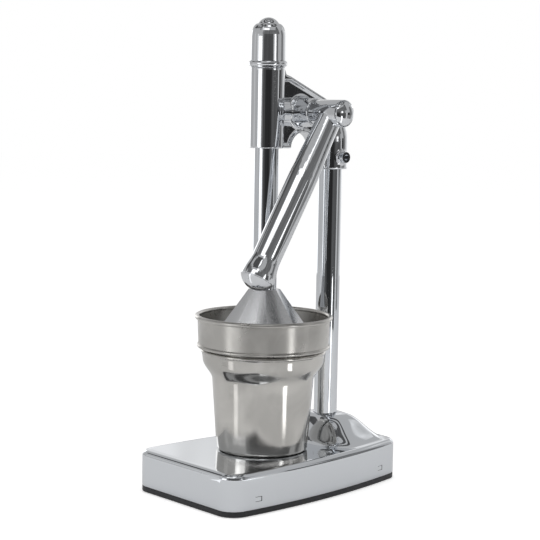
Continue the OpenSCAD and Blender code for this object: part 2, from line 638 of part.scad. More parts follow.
// Cup: outer line from foot to rim, and the same line moved in by the wall
function cup_line(t) = concat([[cup_foot_r - 2.5, 0], [cup_foot_r - 0.7, 0.7], [cup_foot_r, 2.5],
    [cup_body_r, cup_h - cup_band_h - 14.5]],
    [for (s = [0.1:0.1:1]) [cup_body_r + (cup_band_r - 1 - cup_body_r) * s * s * (3 - 2 * s),
        cup_h - cup_band_h - 14.5 + 18.5 * s]],
    [[cup_band_r, cup_h - 3]]);
module cup() color("lightgray") translate([0, rod_y, cup_z]) rotate_extrude() {
    difference() {
        polygon(concat([[0, 0]], cup_line(0), [[0, cup_h - 3]]));
        polygon(concat([[0, 3], [cup_foot_r - cup_t - 2, 3]],
            [for (i = [3:len(cup_line(0)) - 1]) cup_line(0)[i] - [cup_t, 0]],
            [[cup_band_r - cup_t, cup_h + 1], [0, cup_h + 1]]));
        square([cup_foot_r - 5, 1.6]);
    }
    translate([cup_band_r - 0.6, cup_h - cup_bead]) circle(r = cup_bead, $fn = 48);
}

base_shell();
base_tray();
rubber_feet();
ballast_plate();
tray_screws();
column();
column_washer();
column_nut();
head_casting();
lock_screw();
guide_bush();
guide_cap();
cap_button();
shaft_bushes();
retaining_ring();
lever_shaft();
crank();
crank_pin();
lever_hub();
hub_end_cap();
lever_arm();
knob_cap();
lever_set_screw();
plunger_rod();
press_bell();
bell_washer();
bell_screw();
juice_bowl();
strainer_plate();
reamer();
cup();
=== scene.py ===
"""Looks of the hand-lever citrus press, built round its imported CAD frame."""

import json
import math

import bmesh
import bpy
from bpy.props import FloatProperty, FloatVectorProperty, IntProperty, PointerProperty
from bpy.types import Operator, Panel, PropertyGroup
from mathutils import Matrix, Vector


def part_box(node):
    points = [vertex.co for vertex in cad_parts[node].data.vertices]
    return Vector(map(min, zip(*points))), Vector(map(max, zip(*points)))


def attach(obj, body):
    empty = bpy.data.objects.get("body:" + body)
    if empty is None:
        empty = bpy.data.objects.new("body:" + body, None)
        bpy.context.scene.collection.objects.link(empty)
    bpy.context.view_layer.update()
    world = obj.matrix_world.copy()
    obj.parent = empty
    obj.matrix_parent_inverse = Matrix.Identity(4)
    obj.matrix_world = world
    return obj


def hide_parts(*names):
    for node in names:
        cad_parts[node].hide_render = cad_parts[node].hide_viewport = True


bl_info = {
    "name": "Lever citrus press",
    "version": (1, 0, 0),
    "blender": (4, 5, 0),
    "location": "3D Viewport > Sidebar > Citrus press",
    "description": "Builds the finished surfaces of a hand-lever citrus press and its studio",
    "category": "Object",
}

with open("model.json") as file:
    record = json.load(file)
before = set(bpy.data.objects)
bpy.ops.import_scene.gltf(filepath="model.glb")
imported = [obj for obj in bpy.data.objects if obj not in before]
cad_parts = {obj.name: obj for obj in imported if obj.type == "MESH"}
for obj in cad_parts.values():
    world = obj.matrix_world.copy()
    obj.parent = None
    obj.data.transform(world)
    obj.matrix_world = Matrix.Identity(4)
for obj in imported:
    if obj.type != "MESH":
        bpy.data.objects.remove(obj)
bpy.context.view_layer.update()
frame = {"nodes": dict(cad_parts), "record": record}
NODES = frame["nodes"]

# Column and rod are the same round stock
COLUMN_R = (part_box("column")[1].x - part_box("column")[0].x) / 2
COLUMN_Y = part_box("column")[0].y + COLUMN_R
ROD_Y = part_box("plunger_rod")[0].y + COLUMN_R
SHELL_LO, SHELL_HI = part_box("base_shell")
BAND_TOP = SHELL_LO.z
# Radius of the cup's foot, and the flat left behind it before the swelling starts
CUP_FOOT_R = 0.0418
FLAT_BEHIND_CUP = 0.0042
# The swelling is reckoned from this far inside the column
FLAT_AT_COLUMN = 0.001
# Hole in the shell for the column, thickness of the sheet, and how far apart two points of a mesh are
# still one
SHELL_HOLE = COLUMN_R + 0.0004
SHEET = 0.0014
SAME_POINT = 0.000005


def linear(code):
    """Linear colour with alpha from an sRGB hex code such as #c8c9cb."""
    parts = [int(code[i:i + 2], 16) / 255 for i in (1, 3, 5)]
    return tuple(c / 12.92 if c <= 0.04045 else ((c + 0.055) / 1.055) ** 2.4 for c in parts) + (1.0,)


def add(tree, kind, settings=None, links=None):
    """Adds one node, sets its properties and inputs, and links sockets (node, output) to its inputs."""
    node = tree.nodes.new(kind)
    for key, value in (settings or {}).items():
        if isinstance(key, str) and key.islower() and hasattr(node, key):
            setattr(node, key, value)
        else:
            node.inputs[key].default_value = value
    for key, (source, output) in (links or {}).items():
        tree.links.new(source.outputs[output], node.inputs[key])
    return node


def spots(size):
    """Scale of a noise whose spots are about this many metres across."""
    return 1 / size


def new_material(name):
    """An empty node material with its output, and the tree that it is drawn in."""
    material = bpy.data.materials.new(name)
    material.use_nodes = True
    material.node_tree.nodes.clear()
    return material, material.node_tree


# Sizes and colours


class PressSizes(PropertyGroup):
    corner_radius: FloatProperty(name="Corner radius", description="Corner radius of the base in plan",
                                 default=0.017, unit="LENGTH")
    edge_radius: FloatProperty(name="Edge radius", description="Radius of the base's top edge",
                               default=0.005, unit="LENGTH")
    base_top: FloatProperty(name="Base top", description="Height of the flat top above the ground",
                            default=0.038, unit="LENGTH")
    mound_height: FloatProperty(name="Swelling height",
                                description="Height of the swelling round the column",
                                default=0.024, unit="LENGTH")
    mound_reach: FloatProperty(name="Swelling reach", description="Reach of the swelling to the sides",
                               default=0.058, unit="LENGTH")
    mound_fullness: FloatProperty(name="Swelling fullness", default=1.22,
                                  description="Above 1 gives the swelling a broader shoulder")
    plan_points: IntProperty(name="Points round the base", description="Points round the base's outline",
                             default=288, min=96, max=480)
    top_rings: IntProperty(name="Rings over the base", description="Rings from the edge to the column",
                           default=40, min=16, max=80)
    window_front: FloatProperty(name="Front windows",
                                description="Place of the front snap windows along the base",
                                default=-0.08249, unit="LENGTH")
    window_rear: FloatProperty(name="Rear windows",
                               description="Place of the rear snap windows along the base",
                               default=0.08136, unit="LENGTH")
    window_rise: FloatProperty(name="Window rise",
                               description="Height of the snap windows above the band",
                               default=0.009, unit="LENGTH")
    window_length: FloatProperty(name="Window length", description="Length of a snap window",
                                 default=0.007, unit="LENGTH")
    window_height: FloatProperty(name="Window height", description="Height of a snap window",
                                 default=0.004, unit="LENGTH")
    window_slit: FloatProperty(name="Window slit", description="Width of the slit round a snap tab",
                               default=0.0004, precision=5, unit="LENGTH")
    hub_dome: FloatProperty(name="Hub dome", description="Height of the domed end of the lever's hub",
                            default=0.0055, precision=4, unit="LENGTH")
    hub_edge: FloatProperty(name="Hub edge",
                            description="Step in which the hub's rim and groove are drawn",
                            default=0.0002, precision=5, unit="LENGTH")
    screw_hole: FloatProperty(name="Set screw hole",
                              description="Radius of the hole for the hub's set screw",
                              default=0.00255, precision=5, unit="LENGTH")
    rim_height: FloatProperty(name="Rim height", description="Height of the cup's rolled rim",
                              default=0.0034, precision=4, unit="LENGTH")
    rim_gap: FloatProperty(name="Rim gap",
                           description="Dark gap between the cup's rolled rim and the bowl",
                           default=0.0013, precision=4, unit="LENGTH")
    casting_voxel: FloatProperty(name="Casting grain", description="Size of the casting's surface cells",
                                 default=0.0007, precision=5, unit="LENGTH")
    casting_polish: IntProperty(name="Casting polish",
                                description="How often the casting's edges are smoothed",
                                default=7, min=0, max=30)


class PressColours(PropertyGroup):
    chrome: FloatVectorProperty(name="Chrome", description="Bright chrome plating", subtype="COLOR",
                                size=4, default=linear("#dfe2e6"), min=0, max=1)
    casting: FloatVectorProperty(name="Polished casting", description="Plated and polished die casting",
                                 subtype="COLOR", size=4, default=linear("#dcdee1"), min=0, max=1)
    stainless: FloatVectorProperty(name="Stainless", description="Spun stainless steel",
                                   subtype="COLOR", size=4, default=linear("#d1cfcb"), min=0, max=1)
    bell: FloatVectorProperty(name="Bell", description="Satin cast aluminium", subtype="COLOR", size=4,
                              default=linear("#cbccce"), min=0, max=1)
    band: FloatVectorProperty(name="Band", description="Black plastic of the band and tray",
                              subtype="COLOR", size=4, default=linear("#202124"), min=0, max=1)
    floor: FloatVectorProperty(name="Floor", description="Pale studio floor", subtype="COLOR", size=4,
                               default=linear("#f4f4f4"), min=0, max=1)


def sizes():
    return bpy.context.scene.press_sizes


def colours():
    return bpy.context.scene.press_colours


# Pieces


def finish_piece(bm, name, body, material):
    """Makes a smooth-shaded object from the bmesh, with its place in the mesh, and puts it on its body."""
    mesh = bpy.data.meshes.new(name)
    bm.normal_update()
    bm.to_mesh(mesh)
    bm.free()
    mesh.shade_smooth()
    mesh.materials.append(material)
    piece = bpy.data.objects.new(name, mesh)
    bpy.context.scene.collection.objects.link(piece)
    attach(piece, body)
    return piece


def apply_modifiers(piece):
    """Bakes a piece's modifiers into its mesh."""
    graph = bpy.context.evaluated_depsgraph_get()
    baked = bpy.data.meshes.new_from_object(piece.evaluated_get(graph))
    piece.modifiers.clear()
    piece.data = baked


# Plan of the base: one long arc on each side between two corner arcs, as in the frame.
# The base is widest this far in front of its middle.
BASE_L = SHELL_HI.y - SHELL_LO.y
BASE_W = SHELL_HI.x - SHELL_LO.x
SIDE_R = 0.7
WIDE_Y = 0.061
# Share of the plan's points on the front, front corner, side, rear corner and rear
POINT_SHARES = (0.13, 0.22, 0.38, 0.22, 0.05)
# Turned-in lower edge of the wall, as inset and height above the band
WALL_FOOT = ((0.0012, 0.0001), (0.0004, 0.0002), (0.0, 0.0009))
WALL_STEPS = 8
# Above 1 the rings over the top lie closer together towards the column
RING_CROWDING = 1.5
# Depth of the cutter for the snap tabs, well through the wall
CUT_DEPTH = 0.008


def arc(centre, radius, start, end, count):
    """Points on an arc in plan, without its last one."""
    turns = (start + (end - start) * i / count for i in range(count))
    return [(centre[0] + radius * math.cos(a), centre[1] + radius * math.sin(a)) for a in turns]


def plan_outline(count, inset):
    """Points round the base's outline, moved inwards by inset, anticlockwise from the front's middle."""
    corner, half, across = sizes().corner_radius, BASE_L / 2, math.pi / 2
    side_x = BASE_W / 2 - SIDE_R
    front = (side_x + math.sqrt((SIDE_R - corner) ** 2 - (WIDE_Y - half + corner) ** 2), corner - half)
    rear = (side_x + math.sqrt((SIDE_R - corner) ** 2 - (WIDE_Y + half - corner) ** 2), half - corner)
    turn_f = math.atan2(front[1] + WIDE_Y, front[0] - side_x)
    turn_r = math.atan2(rear[1] + WIDE_Y, rear[0] - side_x)
    n = [max(4, round(count / 2 * share)) for share in POINT_SHARES]
    right = [(front[0] * i / n[0], inset - half) for i in range(n[0])]
    right += arc(front, corner - inset, -across, turn_f, n[1])
    right += arc((side_x, -WIDE_Y), SIDE_R - inset, turn_f, turn_r, n[2])
    right += arc(rear, corner - inset, turn_r, across, n[3])
    right += [(rear[0] * (1 - i / n[4]), half - inset) for i in range(n[4])]
    return right + [(0.0, half - inset)] + [(-x, y) for x, y in reversed(right[1:])]


def swelling(distance, reach):
    """Height added round the column at this distance, on a ray that ends at reach."""
    start = COLUMN_R - FLAT_AT_COLUMN
    share = min(1.0, max(0.0, (distance - start) / (reach - start)))
    return sizes().mound_height * (1 + math.cos(math.pi * share ** sizes().mound_fullness)) / 2


def wall_rings(s):
    """Rings of the base's wall and rolled edge, from the turned-in lower edge to the flat top."""
    levels = [(inset, BAND_TOP + up) for inset, up in WALL_FOOT]
    first, last = levels[-1][1], s.base_top - s.edge_radius
    levels += [(0.0, first + (last - first) * i / WALL_STEPS) for i in range(1, WALL_STEPS + 1)]
    for degrees in range(9, 91, 9):
        a = math.radians(degrees)
        levels.append((s.edge_radius * (1 - math.cos(a)), last + s.edge_radius * math.sin(a)))
    return [[(x, y, z) for x, y in plan_outline(s.plan_points, inset)] for inset, z in levels]


def top_rings(s):
    """Rings over the top, from the rolled edge up the swelling to the column."""
    rings = []
    front_reach = COLUMN_Y - ROD_Y - CUP_FOOT_R - FLAT_BEHIND_CUP
    for j in range(1, s.top_rings + 1):
        ring = []
        for x, y in plan_outline(s.plan_points, s.edge_radius):
            ray = Vector((x, y - COLUMN_Y))
            ahead = max(0.0, -ray.y / ray.length)
            reach = min(ray.length, s.mound_reach - (s.mound_reach - front_reach) * ahead ** 2)
            d = SHELL_HOLE + (ray.length - SHELL_HOLE) * (1 - j / s.top_rings) ** RING_CROWDING
            at = ray.normalized() * d
            ring.append((at.x, COLUMN_Y + at.y, s.base_top + swelling(d, reach)))
        rings.append(ring)
    return rings


def grow_ring(bm, verts, edges, points):
    """Extrudes a closed ring of edges and lays the new ring on the points."""
    made = bmesh.ops.extrude_edge_only(bm, edges=edges)["geom"]
    fresh = {g for g in made if isinstance(g, bmesh.types.BMVert)}
    following = [next(e.other_vert(v) for e in v.link_edges if e.other_vert(v) in fresh) for v in verts]
    for v, co in zip(following, points):
        v.co = co
    return following, [g for g in made if isinstance(g, bmesh.types.BMEdge)]


def window_cutter(s):
    """Slits through the wall on three sides of each snap tab; the fourth side holds the tab."""
    length, height, slit = s.window_length, s.window_height, s.window_slit
    # Each slit's place along the wall and up it, then its size along the wall and up it
    slits = ((0, height / 2, length, slit),
             (0, -height / 2, length, slit),
             (length / 2, 0, 2 * slit, height + slit))
    bm = bmesh.new()
    for side in (-1, 1):
        for y in (s.window_front, s.window_rear):
            x = BASE_W / 2 - SIDE_R + math.sqrt(SIDE_R ** 2 - (y + WIDE_Y) ** 2)
            place = (Matrix.Translation((side * x, y, BAND_TOP + s.window_rise))
                     @ Matrix.Rotation(side * math.asin((y + WIDE_Y) / SIDE_R), 4, "Z"))
            for along, up, long, wide in slits:
                box = bmesh.ops.create_cube(bm, size=1)["verts"]
                size = Matrix.Diagonal((CUT_DEPTH, long, wide, 1))
                bmesh.ops.transform(bm, matrix=place @ Matrix.Translation((0, along, up)) @ size, verts=box)
    mesh = bpy.data.meshes.new("window_cutter")
    bm.to_mesh(mesh)
    bm.free()
    return bpy.data.objects.new("window_cutter", mesh)


class PRESS_OT_base_shell(Operator):
    """Builds the pressed and plated base shell as one smooth sheet with rolled edges and snap tabs"""
    bl_idname = "press.base_shell"
    bl_label = "Base shell"

    def execute(self, context):
        s = sizes()
        rings = wall_rings(s) + top_rings(s)
        rings.append([(x, y, z - SHEET) for x, y, z in rings[-1]])
        bm = bmesh.new()
        verts = bmesh.ops.create_circle(bm, segments=len(rings[0]), radius=0.05)["verts"]
        verts.sort(key=lambda v: math.atan2(v.co.x, -v.co.y) % (2 * math.pi))
        edges = bm.edges[:]
        for v, co in zip(verts, rings[0]):
            v.co = co
        for points in rings[1:]:
            verts, edges = grow_ring(bm, verts, edges, points)
        bmesh.ops.recalc_face_normals(bm, faces=bm.faces[:])
        if sum(f.normal.z * f.calc_area() for f in bm.faces) < 0:
            bmesh.ops.reverse_faces(bm, faces=bm.faces[:])
        shell = finish_piece(bm, "base_shell_pressed", "frame", MATERIALS["chrome_plate"])
        sheet = shell.modifiers.new("sheet", "SOLIDIFY")
        sheet.thickness = SHEET
        sheet.offset = -1
        cutter = window_cutter(s)
        context.scene.collection.objects.link(cutter)
        windows = shell.modifiers.new("windows", "BOOLEAN")
        windows.operation = "DIFFERENCE"
        windows.solver = "EXACT"
        windows.use_self = True
        windows.object = cutter
        apply_modifiers(shell)
        bpy.data.objects.remove(cutter)
        shell.data.shade_smooth()
        shell.data.set_sharp_from_angle(angle=math.radians(35))
        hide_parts("base_shell")
        return {"FINISHED"}


class PRESS_OT_head_casting(Operator):
    """Rounds the head casting's edges and corners as a polished die casting has them"""
    bl_idname = "press.head_casting"
    bl_label = "Head casting"

    def execute(self, context):
        bm = bmesh.new()
        bm.from_mesh(NODES["head_casting"].data)
        bmesh.ops.remove_doubles(bm, verts=bm.verts[:], dist=SAME_POINT)
        casting = finish_piece(bm, "head_casting_polished", "frame",
                               MATERIALS["polished_casting"])
        cells = casting.modifiers.new("cells", "REMESH")
        cells.mode = "VOXEL"
        cells.voxel_size = sizes().casting_voxel
        cells.use_smooth_shade = True
        polish = casting.modifiers.new("polish", "SMOOTH")
        polish.factor = 0.5
        polish.iterations = sizes().casting_polish
        apply_modifiers(casting)
        casting.data.materials.clear()
        casting.data.materials.append(MATERIALS["polished_casting"])
        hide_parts("head_casting")
        return {"FINISHED"}


class PRESS_OT_cup(Operator):
    """Sets the cup's rolled rim a little lower, so that the dark gap under the bowl shows"""
    bl_idname = "press.cup"
    bl_label = "Cup"

    def execute(self, context):
        bm = bmesh.new()
        bm.from_mesh(NODES["cup"].data)
        bmesh.ops.remove_doubles(bm, verts=bm.verts[:], dist=SAME_POINT)
        rim_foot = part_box("cup")[1].z - sizes().rim_height
        rim = [v for v in bm.verts if v.co.z > rim_foot]
        bmesh.ops.translate(bm, vec=(0, 0, -sizes().rim_gap), verts=rim)
        cup = finish_piece(bm, "cup_spun", "cup", MATERIALS["cup"])
        cup.data.set_sharp_from_angle(angle=math.radians(40))
        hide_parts("cup")
        return {"FINISHED"}


# Fit of the hub's bore round the shaft
SHAFT_FIT = 0.0001
# Length of the drill for the set screw's hole, and how far out from the screw's middle it is set
DRILL_LENGTH = 0.02
DRILL_OUT = 0.005


def hub_profile(start, bore, tip, radius):
    """Half outline of the lever's hub as (x, radius), from its bore over rim and groove to its tip."""
    e, dome = sizes().hub_edge, sizes().hub_dome
    foot, ball = tip - dome, radius - 5.5 * e
    profile = [(foot, 0.0), (foot, bore), (start, bore)]
    profile += [(start, radius - 3 * e), (start + e, radius - e), (start + 3 * e, radius)]
    profile += [(foot, radius), (foot + 2 * e, radius - 0.5 * e), (foot + 3 * e, radius - 2 * e)]
    profile += [(foot + 2 * e, radius - 4 * e), (foot - e, radius - 5 * e)]
    for degrees in range(0, 90, 5):
        a = math.radians(degrees)
        profile.append((foot + dome * math.sin(a), ball * math.cos(a)))
    return profile + [(tip, 0.0)]


class PRESS_OT_lever_hub(Operator):
    """Turns the lever's hub with its domed end, and drills the set screw's hole"""
    bl_idname = "press.lever_hub"
    bl_label = "Lever hub"

    def execute(self, context):
        low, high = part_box("lever_hub")
        shaft_low, shaft_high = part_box("lever_shaft")
        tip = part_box("hub_end_cap")[1].x
        bore = (shaft_high.z - shaft_low.z) / 2 + SHAFT_FIT
        axis = Vector((0, (low.y + high.y) / 2, (low.z + high.z) / 2))
        bm = bmesh.new()
        verts = [bm.verts.new(axis + Vector((x, 0, height)))
                 for x, height in hub_profile(low.x, bore, tip, (high.z - low.z) / 2)]
        edges = [bm.edges.new(pair) for pair in zip(verts, verts[1:])]
        bmesh.ops.spin(bm, geom=verts + edges, cent=axis, axis=(1, 0, 0), angle=2 * math.pi, steps=128,
                       use_merge=True)
        bmesh.ops.remove_doubles(bm, verts=bm.verts[:], dist=SAME_POINT)
        bmesh.ops.recalc_face_normals(bm, faces=bm.faces[:])
        hub = finish_piece(bm, "lever_hub_turned", "lever",
                           MATERIALS["polished_casting"])
        self.drill(hub, axis)
        hub.data.shade_smooth()
        hub.data.set_sharp_from_angle(angle=math.radians(40))
        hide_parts("lever_hub")
        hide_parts("hub_end_cap")
        return {"FINISHED"}

    def drill(self, hub, axis):
        """Cuts the set screw's hole, which points from the screw's middle away from the shaft."""
        low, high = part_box("lever_set_screw")
        middle = (low + high) / 2
        out = Vector((0, middle.y - axis.y, middle.z - axis.z)).normalized()
        turn = out.to_track_quat("Z", "Y").to_matrix().to_4x4()
        place = Matrix.Translation(middle + out * DRILL_OUT) @ turn
        hole = sizes().screw_hole
        bm = bmesh.new()
        bmesh.ops.create_cone(bm, cap_ends=True, segments=48, radius1=hole, radius2=hole,
                              depth=DRILL_LENGTH)
        bmesh.ops.transform(bm, matrix=place, verts=bm.verts[:])
        mesh = bpy.data.meshes.new("screw_drill")
        bm.to_mesh(mesh)
        bm.free()
        tool = bpy.data.objects.new("screw_drill", mesh)
        bpy.context.scene.collection.objects.link(tool)
        cut = hub.modifiers.new("screw_hole", "BOOLEAN")
        cut.operation = "DIFFERENCE"
        cut.solver = "EXACT"
        cut.object = tool
        apply_modifiers(hub)
        bpy.data.objects.remove(tool)


# Finishes

MATERIALS = {}


def chrome_plate():
    """Bright nickel-chrome plate on pressed steel and drawn bar: a cool mirror with a faint haze."""
    # Hazy patches of 7 cm, and the slight unevenness of the sheet in waves of 2 cm
    material, tree = new_material("bright_chrome_plate")
    place = add(tree, "ShaderNodeTexCoord")
    haze = add(tree, "ShaderNodeTexNoise",
               {"Scale": spots(0.0714), "Detail": 3.0}, {"Vector": (place, "Object")})
    rough = add(tree, "ShaderNodeMapRange",
                {"From Min": 0.35, "From Max": 0.75, "To Min": 0.035, "To Max": 0.075},
                {"Value": (haze, "Fac")})
    wave = add(tree, "ShaderNodeTexNoise",
               {"Scale": spots(0.0222), "Detail": 1.0}, {"Vector": (place, "Object")})
    bump = add(tree, "ShaderNodeBump", {"Strength": 0.03, "Distance": 0.0006}, {"Height": (wave, "Fac")})
    shader = add(tree, "ShaderNodeBsdfPrincipled", {"Base Color": colours().chrome, "Metallic": 1.0},
                 {"Roughness": (rough, "Result"), "Normal": (bump, "Normal")})
    add(tree, "ShaderNodeOutputMaterial", {}, {"Surface": (shader, "BSDF")})
    return material


def polished_casting():
    """Die casting, buffed and plated: a mirror with soft waves and cloudy patches left by the buffing."""
    # Clouds of 17 mm and waves of 11 mm, as broad as a buffing wheel leaves them
    material, tree = new_material("polished_plated_casting")
    place = add(tree, "ShaderNodeTexCoord")
    haze = add(tree, "ShaderNodeTexNoise",
               {"Scale": spots(0.0167), "Detail": 4.0}, {"Vector": (place, "Object")})
    rough = add(tree, "ShaderNodeMapRange",
                {"From Min": 0.35, "From Max": 0.75, "To Min": 0.03, "To Max": 0.1},
                {"Value": (haze, "Fac")})
    wave = add(tree, "ShaderNodeTexNoise",
               {"Scale": spots(0.0111), "Detail": 2.0}, {"Vector": (place, "Object")})
    bump = add(tree, "ShaderNodeBump", {"Strength": 0.035, "Distance": 0.0006}, {"Height": (wave, "Fac")})
    shader = add(tree, "ShaderNodeBsdfPrincipled", {"Base Color": colours().casting, "Metallic": 1.0},
                 {"Roughness": (rough, "Result"), "Normal": (bump, "Normal")})
    add(tree, "ShaderNodeOutputMaterial", {}, {"Surface": (shader, "BSDF")})
    return material


def spun_stainless(name, low, high, stretch):
    """Stainless sheet spun on a lathe: warm, with fine rings that draw a highlight out along the wall."""
    # The rings are half a millimetre apart, coarser than the real ones, so that they show. Water stains are
    # some 45 mm wide and dull patches half as wide.
    material, tree = new_material(name)
    place = add(tree, "ShaderNodeTexCoord")
    rings = add(tree, "ShaderNodeMapping", {"Scale": (spots(0.083), spots(0.083), spots(0.0005))},
                {"Vector": (place, "Object")})
    grain = add(tree, "ShaderNodeTexNoise", {"Scale": 1.0, "Detail": 3.0}, {"Vector": (rings, "Vector")})
    cloud = add(tree, "ShaderNodeTexNoise",
                {"Scale": spots(0.0222), "Detail": 4.0}, {"Vector": (place, "Object")})
    rough = add(tree, "ShaderNodeMapRange",
                {"From Min": 0.35, "From Max": 0.65, "To Min": low, "To Max": high},
                {"Value": (cloud, "Fac")})
    stain = add(tree, "ShaderNodeTexNoise", {"Scale": spots(0.0455), "Detail": 5.0, "Distortion": 0.6},
                {"Vector": (place, "Object")})
    patch = add(tree, "ShaderNodeMapRange",
                {"From Min": 0.42, "From Max": 0.62, "To Min": 0.8, "To Max": 1.0},
                {"Value": (stain, "Fac")})
    steel = add(tree, "ShaderNodeVectorMath", {"operation": "SCALE", 0: colours().stainless[:3]},
                {"Scale": (patch, "Result")})
    bump = add(tree, "ShaderNodeBump", {"Strength": 0.05, "Distance": 0.0003}, {"Height": (grain, "Fac")})
    arm = add(tree, "ShaderNodeVectorMath",
              {"operation": "SUBTRACT", 1: (0.0, ROD_Y, 0.0)}, {0: (place, "Object")})
    around = add(tree, "ShaderNodeVectorMath", {"operation": "CROSS_PRODUCT", 1: (0.0, 0.0, 1.0)},
                 {0: (arm, "Vector")})
    shader = add(tree, "ShaderNodeBsdfPrincipled",
                 {"Metallic": 1.0, "Anisotropic": stretch, "Anisotropic Rotation": 0.25},
                 {"Base Color": (steel, "Vector"), "Roughness": (rough, "Result"),
                  "Normal": (bump, "Normal"), "Tangent": (around, "Vector")})
    add(tree, "ShaderNodeOutputMaterial", {}, {"Surface": (shader, "BSDF")})
    return material


def satin_bell():
    """Cast aluminium, belt-finished along its flutes: satin, with a soft grain down each flute."""
    # Grain of 1 mm across and 17 mm along the flutes, coarser than the belt's own so that it shows
    material, tree = new_material("satin_cast_aluminium")
    place = add(tree, "ShaderNodeTexCoord")
    along = add(tree, "ShaderNodeMapping", {"Scale": (spots(0.00111), spots(0.00111), spots(0.0167))},
                {"Vector": (place, "Object")})
    grain = add(tree, "ShaderNodeTexNoise", {"Scale": 1.0, "Detail": 2.0}, {"Vector": (along, "Vector")})
    rough = add(tree, "ShaderNodeMapRange",
                {"From Min": 0.3, "From Max": 0.7, "To Min": 0.13, "To Max": 0.24},
                {"Value": (grain, "Fac")})
    bump = add(tree, "ShaderNodeBump", {"Strength": 0.06, "Distance": 0.0002}, {"Height": (grain, "Fac")})
    shader = add(tree, "ShaderNodeBsdfPrincipled", {"Base Color": colours().bell, "Metallic": 1.0},
                 {"Roughness": (rough, "Result"), "Normal": (bump, "Normal")})
    add(tree, "ShaderNodeOutputMaterial", {}, {"Surface": (shader, "BSDF")})
    return material


def plain_metal(name, code, low, high, grit, depth):
    """Hidden or small hardware: one metal with a grit of this size and depth, which breaks up its gloss."""
    # Real grit is well under a millimetre; it is drawn one to three millimetres wide so that it shows
    material, tree = new_material(name)
    place = add(tree, "ShaderNodeTexCoord")
    grain = add(tree, "ShaderNodeTexNoise",
                {"Scale": spots(grit), "Detail": 3.0}, {"Vector": (place, "Object")})
    rough = add(tree, "ShaderNodeMapRange",
                {"From Min": 0.3, "From Max": 0.7, "To Min": low, "To Max": high},
                {"Value": (grain, "Fac")})
    bump = add(tree, "ShaderNodeBump", {"Strength": 0.3, "Distance": depth}, {"Height": (grain, "Fac")})
    shader = add(tree, "ShaderNodeBsdfPrincipled", {"Base Color": linear(code), "Metallic": 1.0},
                 {"Roughness": (rough, "Result"), "Normal": (bump, "Normal")})
    add(tree, "ShaderNodeOutputMaterial", {}, {"Surface": (shader, "BSDF")})
    return material


def moulded_black(name, colour, low, high, grit):
    """Black plastic or rubber with the fine spark-eroded grain of its mould, so it never looks wet."""
    # Real grain is about a tenth of a millimetre; it is drawn several times as coarse so that it shows
    material, tree = new_material(name)
    place = add(tree, "ShaderNodeTexCoord")
    grain = add(tree, "ShaderNodeTexNoise",
                {"Scale": spots(grit), "Detail": 2.0}, {"Vector": (place, "Object")})
    rough = add(tree, "ShaderNodeMapRange",
                {"From Min": 0.3, "From Max": 0.7, "To Min": low, "To Max": high},
                {"Value": (grain, "Fac")})
    bump = add(tree, "ShaderNodeBump", {"Strength": 0.2, "Distance": 0.0002}, {"Height": (grain, "Fac")})
    shader = add(tree, "ShaderNodeBsdfPrincipled", {"Base Color": colour, "Metallic": 0.0, "IOR": 1.5},
                 {"Roughness": (rough, "Result"), "Normal": (bump, "Normal")})
    add(tree, "ShaderNodeOutputMaterial", {}, {"Surface": (shader, "BSDF")})
    return material


class PRESS_OT_finishes(Operator):
    """Makes the finishes and gives each carried-over part its own"""
    bl_idname = "press.finishes"
    bl_label = "Finishes"

    def execute(self, context):
        # By slot of the record, and by node where one piece differs from the rest of its slot
        MATERIALS.update({
            "chrome_plate": chrome_plate(),
            "polished_casting": polished_casting(),
            "satin_stainless": spun_stainless("brushed_spun_stainless", 0.26, 0.36, 0.7),
            "cup": spun_stainless("buffed_spun_stainless", 0.09, 0.17, 0.6),
            "satin_casting": satin_bell(),
            "zinc_plated_steel": plain_metal("zinc_plated_steel", "#b4b6b8", 0.25, 0.4, 0.00333, 0.0001),
            "black_steel": plain_metal("black_oxide_steel", "#1c1d1f", 0.3, 0.45, 0.0025, 0.0001),
            "bronze": plain_metal("sintered_bronze", "#b08a4e", 0.35, 0.55, 0.00111, 0.0001),
            "cast_iron": plain_metal("raw_cast_iron", "#3a3a3c", 0.6, 0.8, 0.00286, 0.0004),
            "black_plastic": moulded_black("moulded_black_plastic", colours().band, 0.35, 0.5, 0.00067),
            "black_rubber": moulded_black("soft_black_rubber", linear("#161617"), 0.65, 0.8, 0.00083),
        })
        slots = {row["node"]: row["material_slot"] for row in frame["record"]["subparts"]}
        for name, node in NODES.items():
            node.data.materials.clear()
            node.data.materials.append(MATERIALS.get(name, MATERIALS[slots[name]]))
        return {"FINISHED"}


# Studio

# The photograph's camera: place, turn from the front, tilt, roll, and focal length in pixels of the picture
CAMERA_AT = Vector((1.0563, -0.9582, 0.3642))
CAMERA_TURN = math.radians(48.16)
CAMERA_DOWN = math.radians(6.527)
CAMERA_ROLL = math.radians(0.986)
FOCAL_PIXELS = 1568.67
PICTURE_PIXELS = 540
SENSOR_MM = 36.0

# How far the folds of a card's cloth vary its level, and how wide they are
FOLD_SHARE = 0.25
FOLD_WIDTH = 0.2

